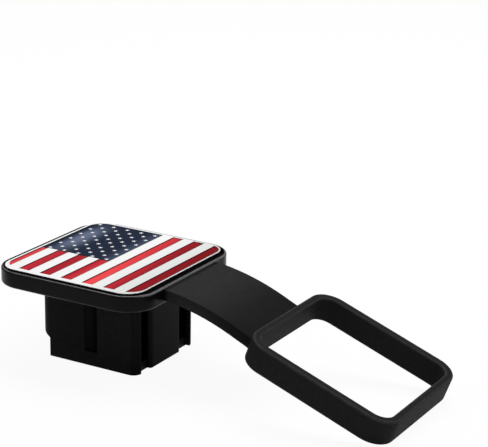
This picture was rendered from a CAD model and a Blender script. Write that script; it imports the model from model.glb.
"""Studio scene of a rubber hitch receiver cover with a bonded flag emblem.

The moulding is refined from the fixed frame's solid: its facets are joined,
its sharp mould edges are broken, and its surfaces get the finish of moulded
rubber. The emblem keeps its solids: its plate, stripes, canton and stars get
printed, glossy finishes and its pad a foam one. All lengths are in metres
unless a name says otherwise; +Z is up and +X runs along the strap.
"""
from __future__ import annotations

import logging
import math
from dataclasses import dataclass
from enum import Enum

import bmesh
import bpy
import numpy as np
from mathutils import Matrix, Vector


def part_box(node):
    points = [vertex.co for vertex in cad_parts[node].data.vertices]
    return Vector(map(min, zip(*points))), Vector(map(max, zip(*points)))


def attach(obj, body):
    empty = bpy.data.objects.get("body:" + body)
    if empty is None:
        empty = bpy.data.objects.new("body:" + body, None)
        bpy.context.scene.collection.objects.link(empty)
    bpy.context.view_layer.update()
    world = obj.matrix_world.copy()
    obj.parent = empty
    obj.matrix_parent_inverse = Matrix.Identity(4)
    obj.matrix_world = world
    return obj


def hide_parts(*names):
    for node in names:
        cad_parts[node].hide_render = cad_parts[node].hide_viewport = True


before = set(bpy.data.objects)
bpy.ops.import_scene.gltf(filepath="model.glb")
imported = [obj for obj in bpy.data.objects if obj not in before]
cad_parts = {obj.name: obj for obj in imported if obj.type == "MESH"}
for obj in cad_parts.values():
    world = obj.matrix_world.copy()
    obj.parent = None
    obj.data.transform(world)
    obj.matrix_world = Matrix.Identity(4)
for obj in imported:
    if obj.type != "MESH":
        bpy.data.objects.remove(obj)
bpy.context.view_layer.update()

LOG = logging.getLogger("cover")
MM = 0.001
ROOT = "root"
EDGE_NAME = "rounded_edge"

Socket = bpy.types.NodeSocket
Sockets = bpy.types.bpy_prop_collection
Colour = tuple[float, float, float]
Place = tuple[float, float, float]


@dataclass(frozen=True)
class Fade:
    """A smooth change of a value, from start at low to end at high."""

    low: float
    high: float
    start: float = 0.0
    end: float = 1.0

    def raised(self, amount: float) -> Fade:
        """Same change with both of its values raised by an amount."""
        return Fade(self.low, self.high, self.start + amount, self.end + amount)


class Graph:
    """A node tree with short calls for the nodes the finishes use."""

    def __init__(self, tree: bpy.types.NodeTree) -> None:
        """Take over a node tree."""
        self.tree = tree

    def node(self, kind: str, **settings: object) -> bpy.types.Node:
        """Add a node and set its plain settings.

        Args:
            kind: Node type name without the leading ShaderNode.
            settings: Attribute values of the node.

        Returns:
            The new node.
        """
        made = self.tree.nodes.new("ShaderNode" + kind)
        for name, value in settings.items():
            setattr(made, name, value)
        return made

    def plug(self, source: Socket | float | tuple, target: Socket) -> None:
        """Link a socket, or set a plain value on the target.

        Args:
            source: Output socket or plain value.
            target: Input socket.
        """
        if isinstance(source, Socket):
            self.tree.links.new(source, target)
        else:
            target.default_value = source

    def math(self, operation: str, *values: Socket | float, clamp: bool = False) -> Socket:
        """Combine values with one math operation.

        Args:
            operation: Name of the operation.
            values: Inputs, linked or plain.
            clamp: Whether the result stays between zero and one.

        Returns:
            The result's socket.
        """
        made = self.node("Math", operation=operation, use_clamp=clamp)
        for value, target in zip(values, made.inputs):
            self.plug(value, target)
        return made.outputs[0]

    def product(self, first: Socket | float, *others: Socket | float) -> Socket:
        """Multiply two or more values.

        Args:
            first: First value.
            others: The values it is multiplied by, in order.

        Returns:
            The product's socket.
        """
        for other in others:
            first = self.math("MULTIPLY", first, other)
        return first

    def largest(self, first: Socket | float, *others: Socket | float) -> Socket:
        """Take the largest of two or more values.

        Args:
            first: First value.
            others: The values it is compared with, in order.

        Returns:
            The largest value's socket.
        """
        for other in others:
            first = self.math("MAXIMUM", first, other)
        return first

    def fade(self, value: Socket, fade: Fade) -> Socket:
        """Ease a value from a fade's range to its results, clamped.

        Args:
            value: Input.
            fade: Range of the input and the results at its two ends.

        Returns:
            The eased value.
        """
        made = self.node("MapRange", interpolation_type="SMOOTHSTEP")
        settings = (value, fade.low, fade.high, fade.start, fade.end)
        for source, target in zip(settings, made.inputs):
            self.plug(source, target)
        return made.outputs[0]

    def noise(self, place: Socket, scale: float, detail: float) -> Socket:
        """Read a noise value at a place.

        Args:
            place: Where it is read.
            scale: Features per metre.
            detail: Octaves of finer noise on top.

        Returns:
            The noise value.
        """
        made = self.node("TexNoise")
        self.plug(place, made.inputs["Vector"])
        made.inputs["Scale"].default_value = scale
        made.inputs["Detail"].default_value = detail
        return made.outputs["Fac"]

    def mix(self, share: Socket, first: Socket | Colour, second: Socket | Colour) -> Socket:
        """Blend two colours.

        Args:
            share: Share of the second colour.
            first: Colour where the share is zero.
            second: Colour where the share is one.

        Returns:
            The blended colour.
        """
        made = self.node("Mix", data_type="RGBA")
        inputs = {socket.identifier: socket for socket in made.inputs}
        outputs = {socket.identifier: socket for socket in made.outputs}
        self.plug(share, inputs["Factor_Float"])
        for colour, label in ((first, "A_Color"), (second, "B_Color")):
            self.plug(colour if isinstance(colour, Socket) else (*colour, 1.0), inputs[label])
        return outputs["Result_Color"]

    def scale_colour(self, colour: Socket, amount: Socket) -> Socket:
        """Multiply a colour by a value.

        Args:
            colour: Colour to scale.
            amount: What each channel is multiplied by.

        Returns:
            The scaled colour.
        """
        made = self.node("VectorMath", operation="SCALE")
        self.plug(colour, made.inputs["Vector"])
        self.plug(amount, made.inputs["Scale"])
        return made.outputs["Vector"]

    def axes(self, vector: Socket) -> Sockets:
        """Split a vector.

        Args:
            vector: Vector to split.

        Returns:
            Its X, Y and Z sockets.
        """
        made = self.node("SeparateXYZ")
        self.plug(vector, made.inputs[0])
        return made.outputs


@dataclass(frozen=True)
class SurfaceGrain:
    """Node group of the grain that every finish shares.

    It holds three sizes of noise, each with its features per metre and its
    octaves: fine speckle, mottle and broad flow marks. Its outputs are a
    height for a bump, which adds speckle and flow marks, and a mottle mask.
    """

    name: str = "surface_grain"
    fine: tuple[float, float] = (2600.0, 2.0)
    mottle: tuple[float, float] = (420.0, 3.0)
    flow: tuple[float, float] = (45.0, 1.0)

    def group(self) -> bpy.types.NodeTree:
        """Build the group at the first call and find it again later.

        Returns:
            The shader node group.
        """
        if self.name in bpy.data.node_groups:
            return bpy.data.node_groups[self.name]
        tree = bpy.data.node_groups.new(self.name, "ShaderNodeTree")
        for label, kind in (("Place", "Vector"), ("Fine", "Float"), ("Flow", "Float")):
            tree.interface.new_socket(label, in_out="INPUT", socket_type="NodeSocket" + kind)
        for label in ("Height", "Mottle"):
            tree.interface.new_socket(label, in_out="OUTPUT", socket_type="NodeSocketFloat")
        graph = Graph(tree)
        given = tree.nodes.new("NodeGroupInput").outputs
        result = tree.nodes.new("NodeGroupOutput").inputs
        fine = graph.product(graph.noise(given["Place"], *self.fine), given["Fine"])
        flow = graph.product(graph.noise(given["Place"], *self.flow), given["Flow"])
        graph.plug(graph.math("ADD", fine, flow), result["Height"])
        graph.plug(graph.noise(given["Place"], *self.mottle), result["Mottle"])
        return tree


@dataclass
class Surface:
    """A material in the making, with what the finishes read from it.

    Attributes:
        material: The material.
        graph: Its nodes.
        shader: Its surface shader.
        axes: X, Y and Z on the object, in metres.
        facing: X, Y and Z of the surface's normal.
        height: Grain height.
        mottle: Mottle mask.
    """

    material: bpy.types.Material
    graph: Graph
    shader: bpy.types.Node
    axes: Sockets
    facing: Sockets
    height: Socket
    mottle: Socket


@dataclass(frozen=True)
class Finish:
    """Common base of the finishes: a named material with the shared grain."""

    name: str

    def start(self, fine: float, flow: float) -> Surface:
        """Begin the material and place the shared grain in it.

        Args:
            fine: Share of the fine speckle in the grain's height.
            flow: Share of the flow marks in the grain's height.

        Returns:
            The surface to finish.
        """
        material = bpy.data.materials.new(self.name)
        material.use_nodes = True
        graph = Graph(material.node_tree)
        shader = material.node_tree.nodes["Principled BSDF"]
        where = graph.node("TexCoord").outputs
        grain = graph.node("Group")
        grain.node_tree = SurfaceGrain().group()
        for source, label in ((where["Object"], "Place"), (fine, "Fine"), (flow, "Flow")):
            graph.plug(source, grain.inputs[label])
        return Surface(material, graph, shader, graph.axes(where["Object"]),
                       graph.axes(where["Normal"]), grain.outputs["Height"],
                       grain.outputs["Mottle"])

    def feed(self, surface: Surface, colour: Socket, rough: Fade, specular: float,
             depth: float) -> bpy.types.Material:
        """Feed the shader.

        Args:
            surface: The surface to finish.
            colour: Its base colour.
            rough: Its roughness by mottle.
            specular: Its specular level.
            depth: Depth of its grain in metres.

        Returns:
            The finished material.
        """
        graph, shader = surface.graph, surface.shader
        graph.plug(colour, shader.inputs["Base Color"])
        graph.plug(graph.fade(surface.mottle, rough), shader.inputs["Roughness"])
        shader.inputs["Specular IOR Level"].default_value = specular
        bump = graph.node("Bump")
        bump.inputs["Distance"].default_value = depth
        graph.plug(surface.height, bump.inputs["Height"])
        graph.plug(bump.outputs["Normal"], shader.inputs["Normal"])
        return surface.material

    def build(self) -> bpy.types.Material:
        """Make the material."""
        raise NotImplementedError


@dataclass(frozen=True)
class MouldedRubber(Finish):
    """Black rubber with grain, mottle and lighter, polished rounded edges."""

    colour: Colour
    edge: Colour
    roughness: float
    specular: float
    fine: float = 0.6
    flow: float = 1.0
    grain_depth: float = 0.03 * MM
    tone_mottle: Fade = Fade(0.35, 0.7, 0.9, 1.1)
    rough_mottle: Fade = Fade(0.3, 0.7, -0.03, 0.04)

    def shade(self, surface: Surface) -> Socket | float:
        """Level of the tone by place, plain on this rubber."""
        return 1.0

    def wear(self, surface: Surface) -> Socket | float:
        """Share of edge polish by place and by normal, full on this rubber."""
        return 1.0

    def build(self) -> bpy.types.Material:
        """Blend the rubber's tone into that of its worn edges, then shade it.

        Returns:
            The material.
        """
        surface = self.start(self.fine, self.flow)
        graph = surface.graph
        rounded = graph.node("Attribute", attribute_name=EDGE_NAME).outputs["Fac"]
        colour = graph.mix(graph.product(rounded, self.wear(surface)), self.colour, self.edge)
        level = graph.product(graph.fade(surface.mottle, self.tone_mottle), self.shade(surface))
        return self.feed(surface, graph.scale_colour(colour, level),
                         self.rough_mottle.raised(self.roughness), self.specular,
                         self.grain_depth)


@dataclass(frozen=True)
class PolishedRubber(MouldedRubber):
    """Rubber of the head, polished along the top of its rim."""

    strap_side: Fade = Fade(34 * MM, 38.5 * MM)
    back_side: Fade = Fade(40 * MM, 36 * MM)
    left_side: Fade = Fade(-41 * MM, -37 * MM)
    looks_up: Fade = Fade(0.72, 0.95)
    looks_out: Fade = Fade(0.15, 0.5, 0.0, 0.8)

    def wear(self, surface: Surface) -> Socket:
        """Polish what looks up, and on the strap's side all of the rim's round.

        The back and left sides of the rim stay dark.

        Args:
            surface: The surface to finish.

        Returns:
            Share of edge polish.
        """
        graph, axes, facing = surface.graph, surface.axes, surface.facing
        inside = graph.product(graph.fade(axes["Y"], self.back_side),
                               graph.fade(axes["X"], self.left_side))
        top = graph.product(graph.fade(facing["Z"], self.looks_up), inside)
        side = graph.product(graph.fade(axes["X"], self.strap_side),
                             graph.fade(facing["Z"], self.looks_out))
        return graph.largest(top, side)


@dataclass(frozen=True)
class FlutedRubber(MouldedRubber):
    """Rubber of the plug, dark in its flutes and slots."""

    panel: Fade = Fade(23.5 * MM, 24.7 * MM)
    flute: Fade = Fade(-2.0 * MM, 3.2 * MM, 0.95, 0.05)
    worn_side: Fade = Fade(-10 * MM, -20 * MM, 0.15, 1.0)

    def wear(self, surface: Surface) -> Socket:
        """Polish the corners on the side away from the strap."""
        return surface.graph.fade(surface.axes["X"], self.worn_side)

    def shade(self, surface: Surface) -> Socket:
        """Darken what lies deeper than the plug's outer panels.

        The depth is the larger of the distances along X and Y from the
        plug's axis. In a flute the dark gathers along the wall nearest the
        strap.

        Args:
            surface: The surface to finish.

        Returns:
            Level of the tone.
        """
        graph, axes = surface.graph, surface.axes
        outward = graph.largest(graph.math("ABSOLUTE", axes["X"]),
                                graph.math("ABSOLUTE", axes["Y"]))
        return graph.largest(graph.fade(outward, self.panel), graph.fade(axes["X"], self.flute))


@dataclass(frozen=True)
class StrapRubber(MouldedRubber):
    """Rubber of the strap and collar, worn lighter on the strap's high part."""

    root: Fade = Fade(39.6 * MM, 42.2 * MM, 0.15, 1.0)
    bend: Fade = Fade(50 * MM, 82 * MM, 1.4, 0.5)
    collar: Fade = Fade(82 * MM, 88 * MM)

    def shade(self, surface: Surface) -> Socket:
        """Darken the strap at its root and along X towards the collar.

        The collar has the plain tone again.

        Args:
            surface: The surface to finish.

        Returns:
            Level of the tone.
        """
        graph, along = surface.graph, surface.axes["X"]
        level = graph.largest(graph.fade(along, self.bend), graph.fade(along, self.collar))
        return graph.product(graph.fade(along, self.root), level)


@dataclass(frozen=True)
class PrintedGloss(Finish):
    """Printed colour under a smooth face, with dark cut sides."""

    colour: Colour
    deep: Colour
    side: Colour = (0.012, 0.012, 0.013)
    roughness: float = 0.16
    specular: float = 0.06
    fine: float = 0.15
    flow: float = 1.0
    grain_depth: float = 0.004 * MM
    looks_up: Fade = Fade(0.45, 0.8)
    ink_mottle: Fade = Fade(0.3, 0.75, 0.0, 0.35)
    rough_mottle: Fade = Fade(0.3, 0.7, 0.0, 0.05)

    def ink(self, surface: Surface) -> Socket:
        """Vary the ink between its colour and its deep tone by mottle."""
        share = surface.graph.fade(surface.mottle, self.ink_mottle)
        return surface.graph.mix(share, self.colour, self.deep)

    def build(self) -> bpy.types.Material:
        """Put the ink on the faces that look up and the side's tone round them.

        Returns:
            The material.
        """
        surface = self.start(self.fine, self.flow)
        top = surface.graph.fade(surface.facing["Z"], self.looks_up)
        colour = surface.graph.mix(top, self.side, self.ink(surface))
        return self.feed(surface, colour, self.rough_mottle.raised(self.roughness),
                         self.specular, self.grain_depth)


@dataclass(frozen=True)
class PlateGloss(PrintedGloss):
    """White that greys a little towards the strap."""

    greying: Fade = Fade(0.0, 34 * MM)
    grey_mottle: Fade = Fade(0.3, 0.75, -0.08, 0.08)

    def ink(self, surface: Surface) -> Socket:
        """Run from the colour to the deep tone along X, with mottle on top.

        Args:
            surface: The surface to finish.

        Returns:
            The ink's colour.
        """
        graph = surface.graph
        share = graph.math("ADD", graph.fade(surface.axes["X"], self.greying),
                           graph.fade(surface.mottle, self.grey_mottle), clamp=True)
        return graph.mix(share, self.colour, self.deep)


@dataclass(frozen=True, kw_only=True)
class StripeGloss(PrintedGloss):
    """Translucent red with a sheen that changes from stripe to stripe.

    The sheen's fades along X count in red stripes from the left one. The ink
    is the deep one where the sheen is zero, the plain colour where it is
    plain_at and the lit one where it is one.

    Attributes:
        first: X of the left stripe's middle.
        step: Distance between the stripes' middles.
        half_width: Half of a stripe's width.
        cut_at: X where the left stripe is cut.
        front: Y of the stripes' front ends.
        back: Y of the stripes' back ends.
    """

    first: float
    step: float
    half_width: float
    cut_at: float
    front: float
    back: float
    tone_mottle: Fade = Fade(0.3, 0.75, 1.04, 0.96)
    lit: Colour = (0.88, 0.07, 0.08)
    plain_at: float = 0.457
    edge_sheen: Fade = Fade(-0.4, 1.6, 0.91, 0.34)
    rise: Fade = Fade(2.5, 4.0, 0.0, 0.66)
    fall: Fade = Fade(4.0, 5.6, 1.0, 0.14)
    back_fade: Fade = Fade(3.0, 4.7, 1.0, 0.37)
    line: float = 0.75 * MM
    line_core: float = 0.4
    end_line: float = 0.6
    line_dark: float = 0.94

    def sheen(self, surface: Surface, offset: Socket) -> Socket:
        """Work out the sheen by place.

        It falls from the left edge, rises to its peak and falls again
        towards the strap, and from the middle on it is weaker at the back.

        Args:
            surface: The surface to finish.
            offset: Distance along X from the first stripe's middle.

        Returns:
            The sheen, from zero to one.
        """
        graph = surface.graph
        count = graph.math("DIVIDE", offset, self.step)
        level = graph.math("ADD", graph.fade(count, self.edge_sheen),
                           graph.fade(count, self.rise))
        level = graph.math("MINIMUM", level, graph.fade(count, self.fall))
        weaker = graph.product(level, graph.fade(count, self.back_fade))
        share = graph.fade(surface.axes["Y"], Fade(self.front, self.back))
        change = graph.product(graph.math("SUBTRACT", weaker, level), share)
        return graph.math("ADD", level, change)

    def recess_lines(self, surface: Surface, offset: Socket) -> Socket:
        """Find the dark lines that the recess walls throw onto the stripes.

        A line is broad along a stripe's left edge and thin along its right
        edge and its ends. The first stripe's left edge is where it is cut.

        Args:
            surface: The surface to finish.
            offset: Distance along X from the first stripe's middle.

        Returns:
            Mask of the lines.
        """
        graph, axes = surface.graph, surface.axes
        across = graph.math("WRAP", offset, self.step / 2, -self.step / 2)
        core, end = self.line_core * self.line, self.end_line * self.line
        left = Fade(self.line - self.half_width, core - self.half_width)
        right = Fade(self.half_width - core, self.half_width)
        front = Fade(self.front + end, self.front)
        back = Fade(self.back - end, self.back)
        cut = Fade(self.cut_at + self.line, self.cut_at + core)
        return graph.largest(graph.fade(across, left), graph.fade(across, right),
                             graph.fade(axes["Y"], front), graph.fade(axes["Y"], back),
                             graph.fade(axes["X"], cut))

    def ink(self, surface: Surface) -> Socket:
        """Run through the three inks by sheen and darken them in the lines.

        Args:
            surface: The surface to finish.

        Returns:
            The ink's colour.
        """
        graph = surface.graph
        offset = graph.math("SUBTRACT", surface.axes["X"], self.first)
        inks = graph.node("ValToRGB")
        graph.plug(self.sheen(surface, offset), inks.inputs[0])
        stops = inks.color_ramp.elements
        stops.new(self.plain_at)
        for stop, colour in zip(stops, (self.deep, self.colour, self.lit)):
            stop.color = (*colour, 1.0)
        dark = graph.product(self.recess_lines(surface, offset), self.line_dark)
        level = graph.math("SUBTRACT", graph.fade(surface.mottle, self.tone_mottle), dark)
        return graph.scale_colour(inks.outputs["Color"], level)


@dataclass(frozen=True, kw_only=True)
class CantonGloss(PrintedGloss):
    """Navy with a paler sheen band near the emblem's left edge.

    Attributes:
        left: X of the canton's left edge.
        front: Y of the canton's front edge.
    """

    left: float
    front: float
    sheen: Colour = (0.13, 0.16, 0.25)
    band_rise: Fade = Fade(-37.5 * MM, -31.5 * MM)
    band_fall: Fade = Fade(-21.5 * MM, -31.5 * MM)
    near: Fade = Fade(-6 * MM, 9 * MM, 0.35, 1.0)
    far: Fade = Fade(38 * MM, 20 * MM, 0.1, 1.0)
    right_edge: Fade = Fade(-8 * MM, 0.0, 0.0, 0.35)
    left_line: Fade = Fade(0.3 * MM, 0.9 * MM, 0.1, 1.0)
    front_line: Fade = Fade(0.2 * MM, 0.7 * MM, 0.1, 1.0)

    def ink(self, surface: Surface) -> Socket:
        """Blend the sheen in.

        It is full where X lies in the band and Y between the near and far
        fades, and faint along the canton's right edge. The recess wall
        throws a dark line along the left and front edges.

        Args:
            surface: The surface to finish.

        Returns:
            The ink's colour.
        """
        graph, axes = surface.graph, surface.axes
        band = graph.product(
            graph.fade(axes["X"], self.band_rise), graph.fade(axes["X"], self.band_fall),
            graph.fade(axes["Y"], self.near), graph.fade(axes["Y"], self.far))
        share = graph.largest(band, graph.fade(axes["X"], self.right_edge))
        inward = graph.math("SUBTRACT", axes["X"], self.left)
        backward = graph.math("SUBTRACT", axes["Y"], self.front)
        level = graph.product(graph.fade(inward, self.left_line),
                              graph.fade(backward, self.front_line))
        return graph.scale_colour(graph.mix(share, super().ink(surface), self.sheen), level)


def dress(piece: bpy.types.Object, *finishes: Finish) -> None:
    """Give a piece its finishes, one per material slot.

    Args:
        piece: Piece to dress.
        finishes: Its finishes, in the order of its material slots.
    """
    while len(piece.material_slots) < len(finishes):
        piece.data.materials.append(None)
    for slot, finish in zip(piece.material_slots, finishes):
        slot.material = finish.build()


class Zone(Enum):
    """Tooled zones of the moulding, in the order of its material slots."""

    HEAD = 0
    PLUG = 1
    STRAP = 2


@dataclass
class CoverBody:
    """The rubber moulding: head, plug, strap and collar."""

    node: str = "cover_body"
    piece_name: str = "rubber_moulding"
    slot: str = "rubber"
    merge_gap: float = 0.002 * MM
    flat_angle: float = math.radians(0.6)
    edge_break: float = 0.25 * MM
    edge_angle: float = math.radians(28)
    edge_segments: int = 2
    round_radius: float = 1.1 * MM
    round_angle: float = math.radians(50)
    round_floor: float = 0.2
    strap_from: float = 39.35 * MM
    plug_below: float = 36.7 * MM

    def finishes(self) -> tuple[MouldedRubber, ...]:
        """Finishes of the zones, in their order."""
        return (
            PolishedRubber("head_rubber", colour=(0.0042, 0.0042, 0.0044),
                           edge=(0.15, 0.15, 0.152), roughness=0.22, specular=0.07),
            FlutedRubber("plug_rubber", colour=(0.013, 0.013, 0.0132),
                         edge=(0.08, 0.08, 0.082), roughness=0.4, specular=0.012),
            StrapRubber("strap_rubber", colour=(0.0165, 0.0165, 0.0167),
                        edge=(0.036, 0.036, 0.037), roughness=0.6, specular=0.035),
        )

    def rounding(self, work: bmesh.types.BMesh) -> np.ndarray:
        """Measure how strongly each face belongs to a rounded edge.

        A face's bend is its largest smooth angle to a neighbour over its
        own width, which is its area over its longest side. The result is
        that bend times the edge's usual radius, less what wide curves have,
        between zero and one.

        Args:
            work: Merged mesh.

        Returns:
            One value per face, from zero on flat faces to one on rounds.
        """
        values = []
        for face in work.faces:
            width = face.calc_area() / max(edge.calc_length() for edge in face.edges)
            angles = [edge.calc_face_angle(0.0) for edge in face.edges]
            bend = max((angle for angle in angles if angle < self.round_angle), default=0.0)
            values.append(bend / max(width, self.merge_gap) * self.round_radius)
        return np.clip((np.array(values) - self.round_floor) / (1.0 - self.round_floor), 0.0, 1.0)

    def mesh(self) -> bpy.types.Mesh:
        """Join the solid's loose triangles into clean faces.

        Returns:
            A new mesh with the same shape as the node's.
        """
        work = bmesh.new()
        work.from_mesh(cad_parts[self.node].data)
        bmesh.ops.remove_doubles(work, verts=work.verts, dist=self.merge_gap)
        bmesh.ops.dissolve_limit(work, angle_limit=self.flat_angle, use_dissolve_boundaries=False,
                                 verts=work.verts, edges=work.edges)
        rounds = self.rounding(work)
        mesh = bpy.data.meshes.new(self.piece_name)
        work.to_mesh(mesh)
        work.free()
        mesh.attributes.new(EDGE_NAME, "FLOAT", "FACE").data.foreach_set("value", rounds)
        mesh.shade_smooth()
        return mesh

    def sort_zones(self, mesh: bpy.types.Mesh) -> None:
        """Give each face the material slot of its zone.

        The plug lies below the head's underside, and the strap and collar
        beyond the head's edge.

        Args:
            mesh: Mesh whose material slots are filled.
        """
        centres = np.empty(len(mesh.polygons) * 3, dtype=np.float32)
        mesh.polygons.foreach_get("center", centres)
        x, _, z = centres.reshape(-1, 3).T
        zones = np.where(z < self.plug_below, Zone.PLUG.value, Zone.HEAD.value)
        zones = np.where(x > self.strap_from, Zone.STRAP.value, zones)
        mesh.polygons.foreach_set("material_index", zones.astype(np.int32))

    def build(self) -> bpy.types.Object:
        """Break the moulding's sharp edges and dress it.

        Returns:
            The finished piece.
        """
        piece = bpy.data.objects.new(self.piece_name, self.mesh())
        bpy.context.scene.collection.objects.link(piece)
        bevel = piece.modifiers.new("edge_break", "BEVEL")
        bevel.width = self.edge_break
        bevel.segments = self.edge_segments
        bevel.limit_method = "ANGLE"
        bevel.angle_limit = self.edge_angle
        bevel.harden_normals = True
        dress(piece, *self.finishes())
        self.sort_zones(piece.data)
        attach(piece, ROOT)
        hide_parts(self.node)
        return piece


@dataclass
class Emblem:
    """Bonded flag emblem: pad, white plate, red stripes, canton and stars."""

    foam: Colour = (0.02, 0.02, 0.02)
    foam_deep: Colour = (0.012, 0.012, 0.012)
    white: Colour = (0.92, 0.925, 0.92)
    white_deep: Colour = (0.74, 0.76, 0.745)
    star: Colour = (0.97, 0.97, 0.97)
    red: Colour = (0.50, 0.018, 0.032)
    red_deep: Colour = (0.18, 0.0, 0.003)
    navy: Colour = (0.011, 0.020, 0.044)
    navy_deep: Colour = (0.008, 0.013, 0.03)
    stripe_count: int = 7
    stripe_half: float = 2.695 * MM
    stripe_step: float = 11.58 * MM

    def stripes(self) -> StripeGloss:
        """Red ink, fitted to the stripes' node.

        Returns:
            The stripes' finish.
        """
        low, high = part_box("red_stripes")
        last = high[0] - self.stripe_half
        return StripeGloss(
            "printed_red", self.red, self.red_deep,
            first=last - (self.stripe_count - 1) * self.stripe_step, step=self.stripe_step,
            half_width=self.stripe_half, cut_at=low[0], front=low[1], back=high[1])

    def canton(self) -> CantonGloss:
        """Navy ink, with its dark lines at the canton node's edges."""
        left, front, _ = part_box("blue_canton")[0]
        return CantonGloss("printed_navy", self.navy, self.navy_deep, left=left, front=front)

    def finishes(self) -> dict[str, Finish]:
        """Finish of each emblem node."""
        return {
            "adhesive_pad": PrintedGloss("dark_foam", self.foam, self.foam_deep,
                                         roughness=0.7, specular=0.1),
            "emblem_plate": PlateGloss("printed_white", self.white, self.white_deep),
            "red_stripes": self.stripes(),
            "blue_canton": self.canton(),
            "white_stars": PrintedGloss("printed_star", self.star, self.star, side=self.star),
        }

    def build(self) -> list[bpy.types.Object]:
        """Dress the emblem's nodes.

        Returns:
            The dressed nodes.
        """
        finishes = self.finishes()
        nodes = [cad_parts[name] for name in finishes]
        for node, finish in zip(nodes, finishes.values()):
            dress(node, finish)
        return nodes


@dataclass(frozen=True)
class Lamp:
    """One soft rectangular lamp.

    Attributes:
        name: Its name.
        place: Where it hangs.
        aim: What it points at.
        width: Its width.
        depth: Its depth.
        power: Its power in watts.
    """

    name: str
    place: Place
    aim: Place
    width: float
    depth: float
    power: float

    def build(self) -> bpy.types.Object:
        """Hang the lamp.

        Returns:
            The lamp.
        """
        data = bpy.data.lights.new(self.name, "AREA")
        data.shape = "RECTANGLE"
        data.size = self.width
        data.size_y = self.depth
        data.energy = self.power
        lamp = bpy.data.objects.new(self.name, data)
        bpy.context.scene.collection.objects.link(lamp)
        lamp.location = self.place
        lamp.rotation_mode = "QUATERNION"
        lamp.rotation_quaternion = (Vector(self.aim) - Vector(self.place)).to_track_quat("-Z", "Y")
        return lamp


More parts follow.
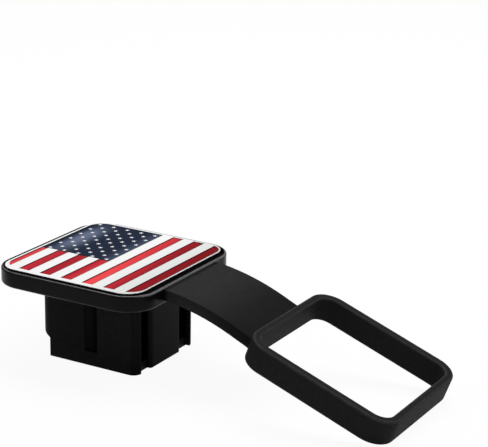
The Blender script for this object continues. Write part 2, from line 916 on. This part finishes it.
@dataclass
class Studio:
    """Pale floor, soft lamps, white surroundings and the camera."""

    floor_reach: float = 6.0
    floor_tone: Colour = (0.9, 0.9, 0.9)
    floor_glow: float = 0.94
    world_dim: float = 0.12
    lamps: tuple[Lamp, ...] = (
        Lamp("overhead", place=(0.1, 0.5, 1.2), aim=(0.05, 0.0, 0.0),
             width=1.6, depth=0.8, power=20.5),
        Lamp("front_left", place=(-0.9, -0.9, 0.7), aim=(0.05, 0.0, 0.02),
             width=0.6, depth=0.8, power=2.7),
    )
    azimuth: float = math.radians(30.048)
    elevation: float = math.radians(17.88)
    roll: float = math.radians(0.97)
    focal_pixels: float = 1771.006
    image_width: int = 488
    axis_shift: float = 1.0
    sensor: float = 36.0
    place: Place = (438.407 * MM, -641.336 * MM, 313.183 * MM)
    nearest: float = 0.01
    farthest: float = 50.0

    def floor(self) -> bpy.types.Object:
        """White floor that stays white around the object's soft shadow.

        Camera, glossy and transmission rays see mostly its even glow, mixed
        with a matte surface that takes the shadow.

        Returns:
            The floor.
        """
        reach = self.floor_reach
        corners = [(-reach, -reach, 0), (reach, -reach, 0), (reach, reach, 0), (-reach, reach, 0)]
        mesh = bpy.data.meshes.new("floor")
        mesh.from_pydata(corners, [], [(0, 1, 2, 3)])
        piece = bpy.data.objects.new("floor", mesh)
        bpy.context.scene.collection.objects.link(piece)
        material = bpy.data.materials.new("floor_paper")
        material.use_nodes = True
        graph = Graph(material.node_tree)
        shader = material.node_tree.nodes["Principled BSDF"]
        shader.inputs["Base Color"].default_value = (*self.floor_tone, 1.0)
        shader.inputs["Roughness"].default_value = 1.0
        shader.inputs["Specular IOR Level"].default_value = 0.0
        path = graph.node("LightPath").outputs
        seen = graph.largest(path["Is Camera Ray"], path["Is Glossy Ray"],
                             path["Is Transmission Ray"])
        glow = graph.node("Emission")
        glow.inputs["Strength"].default_value = 1.0
        both = graph.node("MixShader")
        graph.plug(graph.product(seen, self.floor_glow), both.inputs[0])
        graph.plug(shader.outputs[0], both.inputs[1])
        graph.plug(glow.outputs[0], both.inputs[2])
        graph.plug(both.outputs[0], material.node_tree.nodes["Material Output"].inputs["Surface"])
        mesh.materials.append(material)
        return piece

    def world(self) -> None:
        """White to the camera, dim and even to the object.

        Glossy rays get the dim level too: the object has no metal or glass,
        and a white world would turn its black rubber grey.
        """
        world = bpy.data.worlds.new("studio")
        bpy.context.scene.world = world
        world.use_nodes = True
        graph = Graph(world.node_tree)
        background = world.node_tree.nodes["Background"]
        seen = graph.node("LightPath").outputs["Is Camera Ray"]
        strength = graph.fade(seen, Fade(0.0, 1.0, self.world_dim, 1.0))
        graph.plug(strength, background.inputs["Strength"])
        background.inputs["Color"].default_value = (1.0, 1.0, 1.0, 1.0)

    def camera(self) -> bpy.types.Object:
        """Set the camera at the photograph's angle.

        The camera looks along the direction set by azimuth and elevation,
        then turns about that direction by the roll.

        Returns:
            The camera.
        """
        sin_a, cos_a = math.sin(self.azimuth), math.cos(self.azimuth)
        sin_e, cos_e = math.sin(self.elevation), math.cos(self.elevation)
        back = np.array([sin_a * cos_e, -cos_a * cos_e, sin_e])
        level = np.array([cos_a, sin_a, 0.0])
        upright = np.cross(back, level)
        right = math.cos(self.roll) * level + math.sin(self.roll) * upright
        up = -math.sin(self.roll) * level + math.cos(self.roll) * upright
        turned = np.eye(4)
        turned[:3, :3] = np.stack([right, up, back], axis=1)
        turned[:3, 3] = self.place
        data = bpy.data.cameras.new("camera")
        data.sensor_width = self.sensor
        data.lens = self.focal_pixels / self.image_width * self.sensor
        data.shift_x = data.shift_y = -self.axis_shift / self.image_width
        data.clip_start = self.nearest
        data.clip_end = self.farthest
        camera = bpy.data.objects.new("camera", data)
        bpy.context.scene.collection.objects.link(camera)
        camera.matrix_world = Matrix(turned.tolist())
        bpy.context.scene.camera = camera
        return camera

    def build(self) -> None:
        """Set the whole stage."""
        self.floor()
        self.world()
        self.camera()
        for lamp in self.lamps:
            lamp.build()
        bpy.context.scene.view_settings.view_transform = "Standard"


def main() -> None:
    """Build the pieces in order, then the studio."""
    logging.basicConfig(level=logging.INFO, format="%(name)s: %(message)s")
    moulding = CoverBody().build()
    LOG.info("%s, %d faces", moulding.name, len(moulding.data.polygons))
    for node in Emblem().build():
        LOG.info("%s dressed", node.name)
    Studio().build()


if __name__ == "__main__":
    main()
